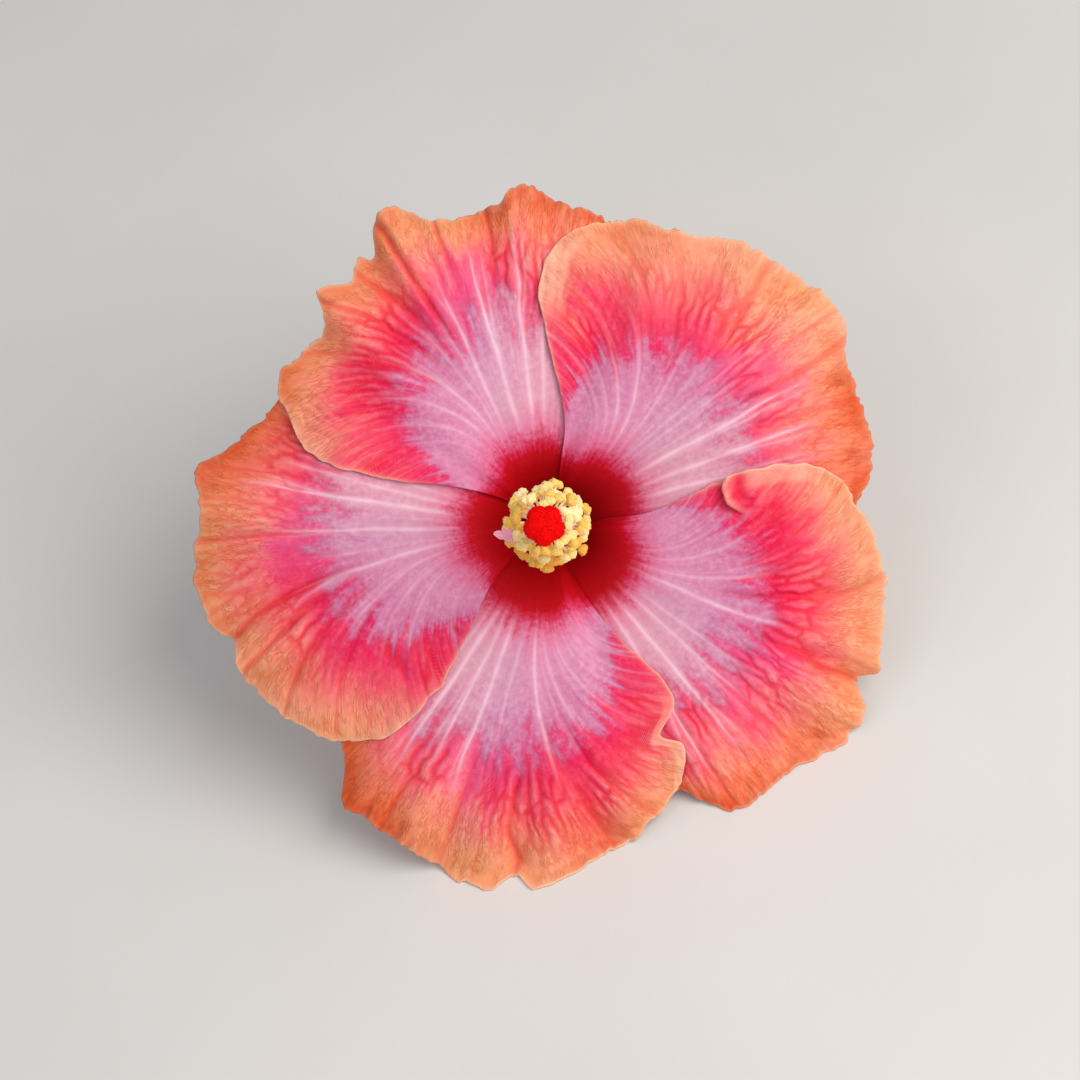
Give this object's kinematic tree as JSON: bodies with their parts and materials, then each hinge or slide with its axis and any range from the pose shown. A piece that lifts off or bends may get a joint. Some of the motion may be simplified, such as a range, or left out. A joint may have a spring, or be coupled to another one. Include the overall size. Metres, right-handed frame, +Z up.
{
  "type": "hibiscus flower",
  "caption": "Open tropical hibiscus flower, picked and laid face up: ruffled petals overlap like a pinwheel round a long column of stamens, with a calyx, bracts and a short stalk behind.",
  "frame": {"origin": "centre of the flower's outline on the surface that it lies on", "axes": "+Z straight up from the surface, +X across the flower, -Y the way the flower leans and faces"},
  "size_m": [0.1622, 0.1224, 0.104],
  "materials": {
    "petal": "soft satin petal: wine red eye, lavender pink halo, rose ring and orange margin, with pale veins",
    "column": "matte yellow pollen on peach and pink filaments, over a tube that is red at its foot",
    "pistil": "velvety bright red stigmas",
    "leafy_green": "satin, slightly hairy light green",
    "stalk": "satin green, slightly brown at the joint, pale at the cut"
  },
  "bodies": {
    "root": {"petal_upper_right": "petal", "petal_upper_left": "petal", "petal_left": "petal", "petal_lower": "petal", "petal_lower_right": "petal", "calyx": "leafy_green", "epicalyx": "leafy_green", "stalk": "stalk", "staminal_column": "column", "pistil": "pistil"}
  },
  "joints": []
}
